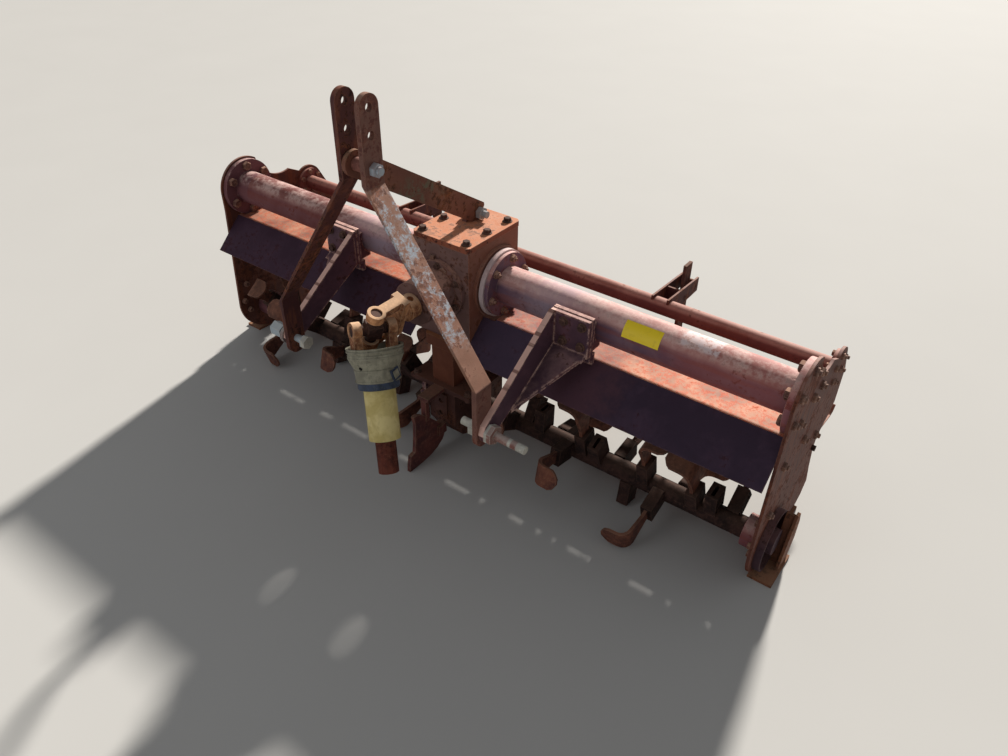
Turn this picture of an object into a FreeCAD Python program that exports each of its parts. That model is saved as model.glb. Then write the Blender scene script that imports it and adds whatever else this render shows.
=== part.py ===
import FreeCAD, Part
import Sketcher
import math
import os

doc = FreeCAD.newDocument("rotary_tiller")
V = FreeCAD.Vector
Rotation = FreeCAD.Rotation
Placement = FreeCAD.Placement

# Driving sizes in mm.
# X runs across the machine, Y points rearwards, Z points up.
# Y and Z count from the axis of the main beam, X from the centre line.
SIZES = (
    ("shift_y", 8.55, "from the beam axis to the origin of the machine, along Y"),
    ("shift_z", 560.0, "height of the beam axis over the floor"),
    ("beam_r", 54.0, "main beam, outer radius"),
    ("beam_wall", 6.0, "main beam, wall"),
    ("beam_in", 126.0, "inner end of each beam half"),
    ("plate_out", 985.0, "outer face of a side plate"),
    ("plate_t", 8.0, "side plate thickness"),
    ("end_disc_r", 94.0, "flange disc at a side plate, radius"),
    ("end_disc_t", 16.0, "flange disc at a side plate, thickness"),
    ("gear_disc_r", 92.0, "flange disc at the gearbox, radius"),
    ("gear_disc_t", 12.0, "flange disc at the gearbox, thickness"),
    ("rear_y", 271.0, "rear tube axis, Y"),
    ("rear_z", -72.0, "rear tube axis, Z"),
    ("rear_r", 24.0, "rear tube, outer radius"),
    ("rear_wall", 4.0, "rear tube, wall"),
    ("rear_disc_r", 50.0, "rear tube end disc, radius"),
    ("rear_disc_t", 10.0, "rear tube end disc, thickness"),
    ("lobe_r", 100.0, "side plate lobe round the beam"),
    ("lobe_rear_r", 60.0, "side plate lobe round the rear tube"),
    ("valley_y", 158.0, "centre of the valley between the lobes, Y"),
    ("valley_z", 104.0, "centre of the valley between the lobes, Z"),
    ("valley_r", 106.0, "radius of the valley"),
    ("plate_front_y", -121.0, "front edge of a side plate, low down"),
    ("plate_rear_y", 372.0, "rear edge of a side plate"),
    ("plate_low_z", -552.0, "lower edge of a side plate"),
    ("plate_nose_r", 124.0, "front lower corner radius of a side plate"),
    ("sheet_t", 4.0, "hood sheet"),
    ("hood_in", 98.0, "half width of the gap for the gearbox"),
    ("hood_lip_y", -156.0, "front lower edge of the hood, Y"),
    ("hood_lip_z", -183.0, "front lower edge of the hood, Z"),
    ("hood_bend_y", -55.0, "front bend of the hood, Y"),
    ("hood_bend_z", -87.0, "front bend of the hood, Z"),
    ("hood_split_y", 104.0, "seam between front and rear hood sheets"),
    ("hinge_y", 245.0, "rear shield hinge, Y"),
    ("hinge_z", -318.0, "rear shield hinge, Z"),
    ("hinge_r", 8.0, "rear shield hinge rod, radius"),
    ("shield_len", 263.9, "rear shield, hinge to rear edge"),
    ("shield_drop", 8.0, "rear shield slope in degrees"),
    ("box_x", 98.0, "gearbox housing, half width"),
    ("box_front", -121.0, "gearbox housing, front face"),
    ("box_rear", 101.0, "gearbox housing, rear face"),
    ("box_top", 127.0, "gearbox housing, top"),
    ("box_low", -165.0, "gearbox housing, underside"),
    ("cover_t", 15.0, "gearbox cover, thickness"),
    ("boss_r", 102.0, "gearbox side boss, radius"),
    ("boss_t", 10.0, "gearbox side boss, length"),
    ("groove_r", 86.0, "groove beside the boss, radius"),
    ("ring_r", 97.0, "pale ring at the beam disc, radius"),
    ("ring_t", 14.0, "pale ring at the beam disc, width"),
    ("input_r", 62.0, "input housing, radius"),
    ("input_front", -238.0, "input housing, front face"),
    ("input_z", -2.0, "input shaft axis, Z"),
    ("input_shaft_r", 20.0, "input shaft, radius"),
    ("neck_x", 60.0, "leg top flange, half width"),
    ("neck_front", -138.0, "leg top flange, front"),
    ("neck_low", -198.0, "leg top flange, underside"),
    ("leg_x", 40.0, "drive leg, half width"),
    ("leg_front", -128.0, "drive leg, front face"),
    ("leg_rear", 60.0, "drive leg, rear face"),
    ("leg_low", -325.0, "drive leg, lower end"),
    ("case_flange_x", 112.0, "lower case flange, half width"),
    ("case_flange_t", 15.0, "lower case flange, thickness"),
    ("case_x", 50.0, "lower case, half width"),
    ("case_front", -138.0, "lower case, front"),
    ("case_rear", 100.0, "lower case, rear"),
    ("rotor_z", -460.0, "rotor axis, Z"),
    ("rotor_r", 30.0, "rotor tube, radius"),
    ("stub_r", 22.0, "rotor stub shaft, radius"),
    ("run_gap", 0.3, "clearance round a turning shaft"),
    ("bearing_r", 46.0, "bearing housing, radius"),
    ("bearing_w", 47.0, "bearing housing, width"),
    ("slot_x", 132.0, "first tine holder from the centre line"),
    ("slot_end", 46.0, "last tine holder to the bearing housing"),
    ("mast_x", 43.0, "outer face of a mast bar"),
    ("bar_t", 14.0, "mast bar thickness"),
    ("bar_w", 58.0, "mast bar width"),
    ("mast_y", -377.0, "mast bar centre, Y"),
    ("mast_top", 563.0, "top link hole, upper, Z"),
    ("mast_mid", 502.0, "top link hole, lower, Z"),
    ("link_r", 10.0, "top link hole, radius"),
    ("mast_bolt_z", 426.0, "mast bolt, Z"),
    ("mast_bolt_r", 10.0, "mast bolt, radius"),
    ("mast_bend_z", 386.0, "upper bend of a mast bar, Z"),
    ("foot_x", 347.0, "outer face of a mast bar foot"),
    ("foot_bend_z", -40.0, "lower bend of a mast bar, Z"),
    ("pin_z", -169.0, "lower hitch pins, Z"),
    ("pin_r", 11.0, "lower hitch pins, radius"),
    ("arm_t", 16.0, "hitch arm thickness"),
    ("brace_w", 62.0, "rear brace, width"),
    ("brace_t", 12.0, "rear brace, thickness"),
    ("brace_x", -20.0, "middle of the rear brace at the mast bolt, X"),
    ("brace_lean", 2.3, "rear brace, turn towards the right in degrees"),
    ("brace_y", 45.0, "rear brace bolt, Y"),
    ("brace_z", 161.0, "rear brace bolt, Z"),
    ("strap_x", 482.0, "centre of a shield bracket"),
    ("strap_w", 40.0, "shield strap, width"),
    ("strap_t", 10.0, "shield strap, thickness"),
    ("strap_y", 420.0, "shield strap, Y"),
    ("strap_pin_r", 6.0, "pin of a shield strap, radius"),
    ("joint_y", -390.0, "drive joint centre, Y"),
    ("joint_roll", 20.0, "drive joint, turn of the input fork in degrees"),
    ("joint_yaw", 65.0, "drive joint, turn of the cross in degrees"),
    ("joint_swing", 43.0, "drive joint, swing of the shaft in degrees"),
    ("ear_in", 36.0, "inner face of a fork ear"),
    ("ear_t", 23.0, "fork ear, thickness"),
    ("ear_r", 23.5, "fork ear, radius"),
    ("cup_r", 15.0, "bearing cup in a fork ear, radius"),
    ("cup_fit", 0.06, "clearance round a bearing cup"),
    ("root_z", -70.0, "root of the shaft fork, along the shaft"),
    ("hub_r", 34.0, "shaft fork hub, radius"),
    ("rim_r", 72.0, "guard cone rim, radius"),
    ("rim_z", -43.0, "guard cone rim, along the shaft"),
    ("neck_z", -98.0, "guard cone neck, along the shaft"),
    ("collar_z", -133.0, "dark ring under the guard cone, along the shaft"),
    ("tube_z", -152.0, "guard tube, upper end along the shaft"),
    ("tube_end_z", -288.0, "guard tube, lower end along the shaft"),
    ("guard_r", 41.5, "guard tube, radius"),
    ("shaft_r", 27.5, "inner profile tube, radius"),
    ("shaft_end_z", -379.0, "inner profile tube, lower end along the shaft"),
    ("skid_w", 58.0, "skid width beyond the side plate"),
    ("skid_t", 8.0, "skid thickness"),
)

dims = doc.addObject("Spreadsheet::Sheet", "Dims")
for row, (alias, value, note) in enumerate(SIZES, start=1):
    dims.set("A%d" % row, note)
    dims.set("B%d" % row, repr(value))
    dims.setAlias("B%d" % row, alias)
doc.recompute()


class Size:
    """A number together with the sheet formula that drives it."""

    def __init__(self, value, text=None):
        self.value = float(value)
        self.text = text if text is not None else "(%.6f)" % float(value)

    def _join(self, other, sign, value):
        return Size(value, "(%s %s %s)" % (self.text, sign, other.text))

    def __add__(self, other):
        other = size(other)
        return self._join(other, "+", self.value + other.value)

    def __radd__(self, other):
        return size(other) + self

    def __sub__(self, other):
        other = size(other)
        return self._join(other, "-", self.value - other.value)

    def __rsub__(self, other):
        return size(other) - self

    def __mul__(self, other):
        other = size(other)
        return self._join(other, "*", self.value * other.value)

    def __rmul__(self, other):
        return size(other) * self

    def __truediv__(self, other):
        other = size(other)
        return self._join(other, "/", self.value / other.value)

    def __neg__(self):
        return Size(-self.value, "(0 - %s)" % self.text)


def size(x):
    return x if isinstance(x, Size) else Size(x)


class Named:
    pass


D = Named()
for alias, value, note in SIZES:
    setattr(D, alias, Size(value, "Dims." + alias))

nodes = {}


def bind(obj, prop, x):
    x = size(x)
    obj.setExpression(prop, x.text)
    return x.value


def new_body(name):
    body = doc.addObject("PartDesign::Body", name)
    body.Label = name
    body.Placement = Placement(V(0, D.shift_y.value, D.shift_z.value), Rotation())
    bind(body, "Placement.Base.y", D.shift_y)
    bind(body, "Placement.Base.z", D.shift_z)
    nodes[name] = body
    return body


def joint_body(name, yaw, swing):
    """Body that sits at the drive joint: its Z runs up the shaft, its X along the cross."""
    body = new_body(name)
    turn = "rotation(vector(0; 1; 0); Dims.joint_roll)"
    turn += " * rotation(vector(0; 0; 1); %s)" % yaw.text
    turn += " * rotation(vector(1; 0; 0); %s)" % swing.text
    spot = "vector(0; Dims.joint_y + Dims.shift_y; Dims.input_z + Dims.shift_z)"
    body.setExpression("Placement.Base.y", None)
    body.setExpression("Placement.Base.z", None)
    body.setExpression("Placement", "placement(%s; %s)" % (spot, turn))
    return body


def origin_plane(body, role):
    for feature in body.Origin.OriginFeatures:
        if feature.Role == role:
            return feature


def sketch_on(body, role, offset):
    sketch = body.newObject("Sketcher::SketchObject", body.Name + "_outline")
    sketch.AttachmentSupport = (origin_plane(body, role), [""])
    sketch.MapMode = "FlatFace"
    offset = size(offset)
    sketch.AttachmentOffset = Placement(V(0, 0, offset.value), Rotation())
    bind(sketch, "AttachmentOffset.Base.z", offset)
    return sketch


def pin_vertex(sketch, edge, end, x, y):
    x = size(x)
    y = size(y)
    k = sketch.addConstraint(Sketcher.Constraint("DistanceX", -1, 1, edge, end, x.value))
    sketch.setExpression("Constraints[%d]" % k, x.text)
    k = sketch.addConstraint(Sketcher.Constraint("DistanceY", -1, 1, edge, end, y.value))
    sketch.setExpression("Constraints[%d]" % k, y.text)


def polygon(sketch, points):
    """Closed outline, each corner driven by its own two sizes."""
    points = [(size(x), size(y)) for x, y in points]
    n = len(points)
    for i in range(n):
        a, b = points[i], points[(i + 1) % n]
        start = V(a[0].value, a[1].value, 0)
        stop = V(b[0].value, b[1].value, 0)
        sketch.addGeometry(Part.LineSegment(start, stop), False)
    for i in range(n):
        sketch.addConstraint(Sketcher.Constraint("Coincident", i, 2, (i + 1) % n, 1))
    for i in range(n):
        pin_vertex(sketch, i, 1, points[i][0], points[i][1])


def pad(body, role, points, start, length, taken=False):
    """Adds or takes away a prism: its outline starts at one plane and runs along +X or +Z."""
    sketch = sketch_on(body, role, start)
    polygon(sketch, points)
    kind = "PartDesign::Pocket" if taken else "PartDesign::Pad"
    feature = body.newObject(kind, body.Name + ("_cut" if taken else "_pad"))
    feature.Profile = sketch
    feature.Length = bind(feature, "Length", length)
    if taken:
        feature.Reversed = True
    sketch.Visibility = False
    return feature


def prism_x(body, points, start, length, taken=False):
    return pad(body, "YZ_Plane", points, start, length, taken)


def prism_z(body, points, start, length, taken=False):
    return pad(body, "XY_Plane", points, start, length, taken)


def prism_y(body, points, start, length, taken=False):
    """Outline in X and Z, from a plane at Y = start, running along +Y."""
    sketch = body.newObject("Sketcher::SketchObject", body.Name + "_outline")
    sketch.AttachmentSupport = (origin_plane(body, "XZ_Plane"), [""])
    sketch.MapMode = "FlatFace"
    back = -size(start)
    sketch.AttachmentOffset = Placement(V(0, 0, back.value), Rotation())
    bind(sketch, "AttachmentOffset.Base.z", back)
    polygon(sketch, points)
    kind = "PartDesign::Pocket" if taken else "PartDesign::Pad"
    feature = body.newObject(kind, body.Name + ("_cut" if taken else "_pad"))
    feature.Profile = sketch
    feature.Length = bind(feature, "Length", length)
    if not taken:
        feature.Reversed = True
    sketch.Visibility = False
    return feature


def revolve(body, points):
    """Ring or cup round the body's own Z axis; outline in radius and height."""
    sketch = body.newObject("Sketcher::SketchObject", body.Name + "_profile")
    sketch.AttachmentSupport = (origin_plane(body, "XZ_Plane"), [""])
    sketch.MapMode = "FlatFace"
    polygon(sketch, points)
    feature = body.newObject("PartDesign::Revolution", body.Name + "_turned")
    feature.Profile = sketch
    feature.ReferenceAxis = (origin_plane(body, "Z_Axis"), [""])
    feature.Angle = 360.0
    sketch.Visibility = False
    return feature


ALONG = {
    "x": Rotation(V(0, 1, 0), 90),
    "y": Rotation(V(1, 0, 0), -90),
    "z": Rotation(),
}


def place(feature, x, y, z, turn):
    x, y, z = size(x), size(y), size(z)
    feature.Placement = Placement(V(x.value, y.value, z.value), turn)
    bind(feature, "Placement.Base.x", x)
    bind(feature, "Placement.Base.y", y)
    bind(feature, "Placement.Base.z", z)


def cylinder(body, along, x, y, z, radius, length, taken=False, turn=None):
    """Round bar or bore, from its start point along one axis."""
    kind = "PartDesign::SubtractiveCylinder" if taken else "PartDesign::AdditiveCylinder"
    feature = body.newObject(kind, body.Name + ("_bore" if taken else "_round"))
    feature.Radius = bind(feature, "Radius", radius)
    feature.Height = bind(feature, "Height", length)
    place(feature, x, y, z, turn if turn is not None else ALONG[along])
    return feature


def cone(body, along, x, y, z, r1, r2, length, taken=False, turn=None):
    kind = "PartDesign::SubtractiveCone" if taken else "PartDesign::AdditiveCone"
    feature = body.newObject(kind, body.Name + "_cone")
    feature.Radius1 = bind(feature, "Radius1", r1)
    feature.Radius2 = bind(feature, "Radius2", r2)
    feature.Height = bind(feature, "Height", length)
    place(feature, x, y, z, turn if turn is not None else ALONG[along])
    return feature


def block(body, x, y, z, lx, ly, lz, taken=False, turn=None):
    """Box from its low corner."""
    kind = "PartDesign::SubtractiveBox" if taken else "PartDesign::AdditiveBox"
    feature = body.newObject(kind, body.Name + ("_slot" if taken else "_block"))
    feature.Length = bind(feature, "Length", lx)
    feature.Width = bind(feature, "Width", ly)
    feature.Height = bind(feature, "Height", lz)
    place(feature, x, y, z, turn if turn is not None else Rotation())
    return feature


def hexagon(body, along, x, y, z, across, length):
    feature = body.newObject("PartDesign::AdditivePrism", body.Name + "_hex")
    feature.Polygon = 6
    feature.Circumradius = bind(feature, "Circumradius", size(across) * 0.57735)
    feature.Height = bind(feature, "Height", length)
    place(feature, x, y, z, ALONG[along])
    return feature


def side_start(side, near, length):
    """Low X of a piece that starts at |X| = near and grows outwards by length."""
    return size(near) if side > 0 else -(size(near) + length)


plate_in = D.plate_out - D.plate_t
SIDES = (("left", -1), ("right", 1))

# Main beam: two tube halves with a disc at each end.
for word, side in SIDES:
    beam = new_body("main_beam_" + word)
    length = plate_in - D.beam_in
    cylinder(beam, "x", side_start(side, D.beam_in, length), 0, 0, D.beam_r, length)
    cylinder(beam, "x", side_start(side, plate_in - D.end_disc_t, D.end_disc_t), 0, 0,
             D.end_disc_r, D.end_disc_t)
    cylinder(beam, "x", side_start(side, D.beam_in, D.gear_disc_t), 0, 0,
             D.gear_disc_r, D.gear_disc_t)
    bore = length + 2
    cylinder(beam, "x", side_start(side, D.beam_in - 1, bore), 0, 0,
             D.beam_r - D.beam_wall, bore, taken=True)

# Rear tube from plate to plate.
rear = new_body("rear_tube")
cylinder(rear, "x", -plate_in, D.rear_y, D.rear_z, D.rear_r, plate_in * 2)
cylinder(rear, "x", -plate_in, D.rear_y, D.rear_z, D.rear_disc_r, D.rear_disc_t)
cylinder(rear, "x", plate_in - D.rear_disc_t, D.rear_y, D.rear_z, D.rear_disc_r, D.rear_disc_t)
cylinder(rear, "x", -plate_in - 1, D.rear_y, D.rear_z, D.rear_r - D.rear_wall,
         plate_in * 2 + 2, taken=True)

# Side plates with two round lobes, a valley between them and a rounded front lower corner.
nose_y = D.plate_front_y + D.plate_nose_r
nose_z = D.plate_low_z + D.plate_nose_r
heel_y = D.plate_rear_y - 116
for word, side in SIDES:
    plate = new_body("side_plate_" + word)
    start = side_start(side, plate_in, D.plate_t)
    prism_x(plate, [
        (-D.lobe_r, 0),
        (-D.lobe_r, -60),
        (D.plate_front_y, nose_z),
        (nose_y, D.plate_low_z),
        (heel_y, D.plate_low_z),
        (D.plate_rear_y - 74, D.plate_low_z + 17),
        (D.plate_rear_y - 47, D.plate_low_z + 54),
        (D.hinge_y + 47, D.hinge_z - 100),
        (D.hinge_y + 22, D.hinge_z - 16),
        (D.hinge_y + 26, D.hinge_z + 16),
        (D.hinge_y + 54, D.hinge_z + 36),
        (D.plate_rear_y - 27, D.hinge_z + 56),
        (D.plate_rear_y, D.hinge_z + 80),
        (D.plate_rear_y, -128),
        (D.rear_y + D.lobe_rear_r * 0.84, D.rear_z + D.lobe_rear_r * 0.54),
        (D.rear_y - 30, D.rear_z + 48),
        (70, 62),
    ], start, D.plate_t)
    cylinder(plate, "x", start, 0, 0, D.lobe_r, D.plate_t)
    cylinder(plate, "x", start, D.rear_y, D.rear_z, D.lobe_rear_r, D.plate_t)
    cylinder(plate, "x", start, nose_y, nose_z, D.plate_nose_r, D.plate_t)
    cylinder(plate, "x", start - 1, D.valley_y, D.valley_z, D.valley_r, D.plate_t + 2, taken=True)
    cylinder(plate, "x", start - 1, D.hinge_y, D.hinge_z, D.hinge_r + 0.1, D.plate_t + 2, taken=True)
    cylinder(plate, "x", start - 1, 0, D.rotor_z, D.stub_r + 4, D.plate_t + 2, taken=True)

# Hood: a front sheet each side of the gearbox, and one rear sheet.
front_sheet = [
    (D.hood_lip_y, D.hood_lip_z),
    (D.hood_lip_y + 3, D.hood_lip_z - 3),
    (D.hood_bend_y + 2, D.hood_bend_z - D.sheet_t),
    (D.hood_split_y, D.hood_bend_z - D.sheet_t),
    (D.hood_split_y, D.hood_bend_z),
    (D.hood_bend_y, D.hood_bend_z),
]
for word, side in SIDES:
    hood = new_body("hood_front_" + word)
    width = plate_in - D.hood_in
    prism_x(hood, front_sheet, side_start(side, D.hood_in, width), width)
    wide = D.beam_in + D.gear_disc_t - D.hood_in + 4
    cylinder(hood, "x", side_start(side, D.hood_in - 1, wide), 0, 0, D.boss_r + 6, wide, taken=True)
    wide = D.end_disc_t + 4
    cylinder(hood, "x", side_start(side, plate_in - wide + 1, wide), 0, 0, D.end_disc_r + 2, wide,
             taken=True)

hood = new_body("hood_rear")
REAR_CURVE = ((146.0, -92.0), (184.0, -108.0), (212.0, -138.0), (229.0, -180.0), (235.0, -230.0))
outer = [(D.hood_split_y, D.hood_bend_z)]
outer += [(size(y), size(z)) for y, z in REAR_CURVE]
outer += [(D.hinge_y - 9, D.hinge_z + 18)]
inner = [(D.hinge_y - 13, D.hinge_z + 18)]
for y, z in reversed(REAR_CURVE):
    inner.append((size(y) - D.sheet_t * 0.75, size(z) - D.sheet_t * 0.75))
inner.append((D.hood_split_y, D.hood_bend_z - D.sheet_t))
prism_x(hood, outer + inner, -plate_in, plate_in * 2)

# Gearbox housing with a round boss, a groove and a pale ring on each flank.
box = new_body("gearbox_housing")
block(box, -D.box_x, D.box_front, D.box_low, D.box_x * 2, D.box_rear - D.box_front,
      D.box_top - D.box_low)
for word, side in SIDES:
    cylinder(box, "x", side_start(side, D.box_x - 4, D.boss_t + 4), 0, 0, D.boss_r, D.boss_t + 4)
    reach = D.beam_in - D.box_x
    cylinder(box, "x", side_start(side, D.box_x, reach), 0, 0, D.groove_r, reach)
    cylinder(box, "x", side_start(side, D.beam_in - D.ring_t, D.ring_t), 0, 0, D.ring_r, D.ring_t)

cover = new_body("gearbox_cover")
prism_z(cover, [
    (-D.box_x - 1, D.box_front + 8),
    (-D.box_x + 8, D.box_front - 1),
    (D.box_x - 8, D.box_front - 1),
    (D.box_x + 1, D.box_front + 8),
    (D.box_x + 1, D.box_rear + 1),
    (D.box_x - 8, D.box_rear + 10),
    (-D.box_x + 8, D.box_rear + 10),
    (-D.box_x - 1, D.box_rear + 1),
], D.box_top, D.cover_t)

# Input housing, its seal and the fixed half of the drive joint.
housing = new_body("input_housing")
depth = D.box_front - D.input_front
cylinder(housing, "y", 0, D.input_front, D.input_z, D.input_r, depth)
cylinder(housing, "y", 0, D.box_front - 14, D.input_z, D.input_r + 22, 14)
cylinder(housing, "y", 0, D.input_front - 1, D.input_z, D.input_shaft_r + D.run_gap, 26, taken=True)

yoke = joint_body("input_yoke", size(0), size(0))
gap_y = D.input_front - D.joint_y
for z0 in (D.ear_in, -(D.ear_in + D.ear_t)):
    block(yoke, -14, 0, z0, 28, 84, D.ear_t)
    cylinder(yoke, "z", 0, 0, z0, D.ear_r, D.ear_t)
block(yoke, -24, 78, -(D.ear_in + D.ear_t), 48, 22, (D.ear_in + D.ear_t) * 2)
cylinder(yoke, "y", 0, 96, 0, 26, 22)
cylinder(yoke, "y", 0, 117, 0, 34, gap_y - 119)
cylinder(yoke, "y", 0, gap_y - 4, 0, D.input_shaft_r, 28)
cylinder(yoke, "z", 0, 0, -(D.ear_in + D.ear_t + 1), D.cup_r + D.cup_fit,
         (D.ear_in + D.ear_t + 1) * 2, taken=True)
cylinder(yoke, "z", 0, 132, 20, 9, 20, taken=True)

# Leg from the gearbox to the lower case.
leg = new_body("drive_leg")
prism_z(leg, [
    (-D.neck_x, D.neck_front + 14),
    (-D.neck_x + 5, D.neck_front + 4),
    (-D.neck_x + 14, D.neck_front),
    (D.neck_x - 14, D.neck_front),
    (D.neck_x - 5, D.neck_front + 4),
    (D.neck_x, D.neck_front + 14),
    (D.neck_x, D.leg_rear + 20),
    (-D.neck_x, D.leg_rear + 20),
], D.neck_low, D.box_low - D.neck_low)
block(leg, -D.leg_x, D.leg_front, D.leg_low, D.leg_x * 2, D.leg_rear - D.leg_front,
      D.neck_low - D.leg_low)

# Lower case round the rotor shaft.
case = new_body("lower_case")
block(case, -D.case_flange_x, D.case_front - 10, D.leg_low - D.case_flange_t,
      D.case_flange_x * 2, D.case_rear - D.case_front + 20, D.case_flange_t)
prism_x(case, [
    (D.case_front, D.leg_low - D.case_flange_t),
    (D.case_rear, D.leg_low - D.case_flange_t),
    (D.case_rear, D.rotor_z),
    (76, D.rotor_z - 58),
    (34, D.rotor_z - 88),
    (-44, D.rotor_z - 88),
    (-104, D.rotor_z - 58),
    (D.case_front, D.rotor_z - 6),
], -D.case_x, D.case_x * 2)
block(case, -20, D.case_front - 8, -446, 44, 10, 90)
for z in (-382.0, -428.0):
    cylinder(case, "y", 2, D.case_front - 9, z, 9, 8, taken=True)
cylinder(case, "x", -D.case_x - 1, 0, D.rotor_z, D.stub_r + D.run_gap, D.case_x * 2 + 2, taken=True)

# Fixed share that splits the ground ahead of the lower case.
share = new_body("centre_share")
SHARE = (
    (-271.0, -369.0), (-254.0, -369.0), (-234.0, -382.0), (-212.0, -402.0), (-190.0, -425.0),
    (-170.0, -447.0), (-152.0, -468.0), (-140.0, -488.0), (-138.0, -508.0), (-150.0, -529.0),
    (-174.0, -545.0), (-206.0, -555.0), (-246.0, -559.0), (-302.0, -559.0), (-300.0, -536.0),
    (-293.0, -503.0), (-275.0, -500.0), (-268.0, -448.0), (-265.0, -398.0),
)
SHARE_T = 12.0
TAB_T = 28.0
prism_x(share, list(reversed(SHARE)), -SHARE_T / 2, SHARE_T)
block(share, -TAB_T / 2, -172, -500, TAB_T, D.case_front + 172, 34)
STEM_Y = -222.0
STEM_T = 14.0
flange_z = D.leg_low - D.case_flange_t
block(share, -10, STEM_Y, -412, 20, STEM_T, flange_z + 14 + 412)
block(share, -20, STEM_Y, flange_z + 2, 40, D.case_front - 10 - STEM_Y, 12)

# Mast bars: upright, spread outwards, then upright again down to the hitch pins.
bar_y = D.mast_y - D.bar_w / 2
for word, side in SIDES:
    bar = new_body("mast_bar_" + word)
    s = float(side)
    spread = [
        ((D.mast_x - D.bar_t) * s, D.mast_top),
        (D.mast_x * s, D.mast_top),
        (D.mast_x * s, D.mast_bend_z),
        (D.foot_x * s, D.foot_bend_z),
        (D.foot_x * s, D.pin_z - 18),
        ((D.foot_x - D.bar_t) * s, D.pin_z - 18),
        ((D.foot_x - D.bar_t) * s, D.foot_bend_z + 6),
        ((D.mast_x - D.bar_t) * s, D.mast_bend_z + 6),
    ]
    if side > 0:
        spread = list(reversed(spread))
    prism_y(bar, spread, bar_y, D.bar_w)
    top_start = side_start(side, D.mast_x - D.bar_t, D.bar_t)
    cylinder(bar, "x", top_start, D.mast_y, D.mast_top, D.bar_w / 2, D.bar_t)
    foot_start = side_start(side, D.foot_x - D.bar_t, D.bar_t)
    cylinder(bar, "x", foot_start, D.mast_y, D.pin_z - 18, D.bar_w / 2, D.bar_t)
    wide = D.bar_t + 2
    for z, r in ((D.mast_top, D.link_r), (D.mast_mid, D.link_r), (D.mast_bolt_z, D.mast_bolt_r)):
        cylinder(bar, "x", side_start(side, D.mast_x - D.bar_t - 1, wide), D.mast_y, z, r,
                 wide, taken=True)
    cylinder(bar, "x", side_start(side, D.foot_x - D.bar_t - 1, wide), D.mast_y, D.pin_z, D.pin_r,
             wide, taken=True)

bolt = new_body("mast_bolt")
cylinder(bolt, "x", -D.mast_x - 22, D.mast_y, D.mast_bolt_z, D.mast_bolt_r, D.mast_x * 2 + 44)
hexagon(bolt, "x", -D.mast_x - 14, D.mast_y, D.mast_bolt_z, 30, 14)
hexagon(bolt, "x", D.mast_x, D.mast_y, D.mast_bolt_z, 30, 14)
brace_left = D.brace_x - D.brace_t / 2
brace_right = D.brace_x + D.brace_t / 2
cylinder(bolt, "x", -(D.mast_x - D.bar_t), D.mast_y, D.mast_bolt_z, 16,
         D.mast_x - D.bar_t + brace_left - 1)
cylinder(bolt, "x", brace_right + 1, D.mast_y, D.mast_bolt_z, 16, D.mast_x - D.bar_t - brace_right - 1)

# Brace from the mast bolt back to the lug on the gearbox cover; it leans a little to the right.
brace = new_body("rear_brace")
brace.setExpression("Placement.Base.y", None)
brace.setExpression("Placement.Base.z", None)
brace.setExpression("Placement", "placement(vector(Dims.brace_x; Dims.mast_y + Dims.shift_y; "
                    "Dims.shift_z); rotation(vector(0; 0; 1); 0 - Dims.brace_lean))")
lean = math.radians(D.brace_lean.value)
brace_run = (D.brace_y - D.mast_y) / math.cos(lean)
dy = brace_run.value
dz = (D.brace_z - D.mast_bolt_z).value
run = math.hypot(dy, dz)
uy, uz = dy / run, dz / run
ny, nz = -uz, uy
half = 0.5 * D.brace_w.value
end = run + 13.0
corner = []
for along, across in ((0, -half), (end, -half), (end, half - 6), (end - 6, half), (0, half)):
    corner.append((size(uy * along + ny * across), D.mast_bolt_z + (uz * along + nz * across)))
prism_x(brace, corner, -D.brace_t / 2, D.brace_t)
cylinder(brace, "x", -D.brace_t / 2, 0, D.mast_bolt_z, D.brace_w / 2, D.brace_t)
for y, z in ((size(0), D.mast_bolt_z), (brace_run, D.brace_z)):
    cylinder(brace, "x", -D.brace_t / 2 - 1, y, z, D.mast_bolt_r + 0.8, D.brace_t + 2, taken=True)
cover_top = D.box_top + D.cover_t
block(brace, -20, -20 - D.mast_y, cover_top - 40, 40, 120, 40.2, taken=True)

lug = new_body("brace_lug")
LUG_T = 14.0
rear_x = D.brace_x + brace_run * math.sin(lean)
lug_right = rear_x - D.brace_t / 2 - 2
nut_x = rear_x + D.brace_t / 2 + 0.6
prism_x(lug, [
    (D.brace_y - 40, cover_top),
    (D.brace_y + 30, cover_top),
    (D.brace_y + 16, D.brace_z + 22),
    (D.brace_y - 22, D.brace_z + 22),
], lug_right - LUG_T, LUG_T)
cylinder(lug, "x", lug_right - LUG_T - 16, D.brace_y, D.brace_z, D.mast_bolt_r,
         LUG_T + D.brace_t + 48)
hexagon(lug, "x", nut_x, D.brace_y, D.brace_z, 32, 15)
hexagon(lug, "x", lug_right - LUG_T - 12, D.brace_y, D.brace_z, 30, 12)

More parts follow.
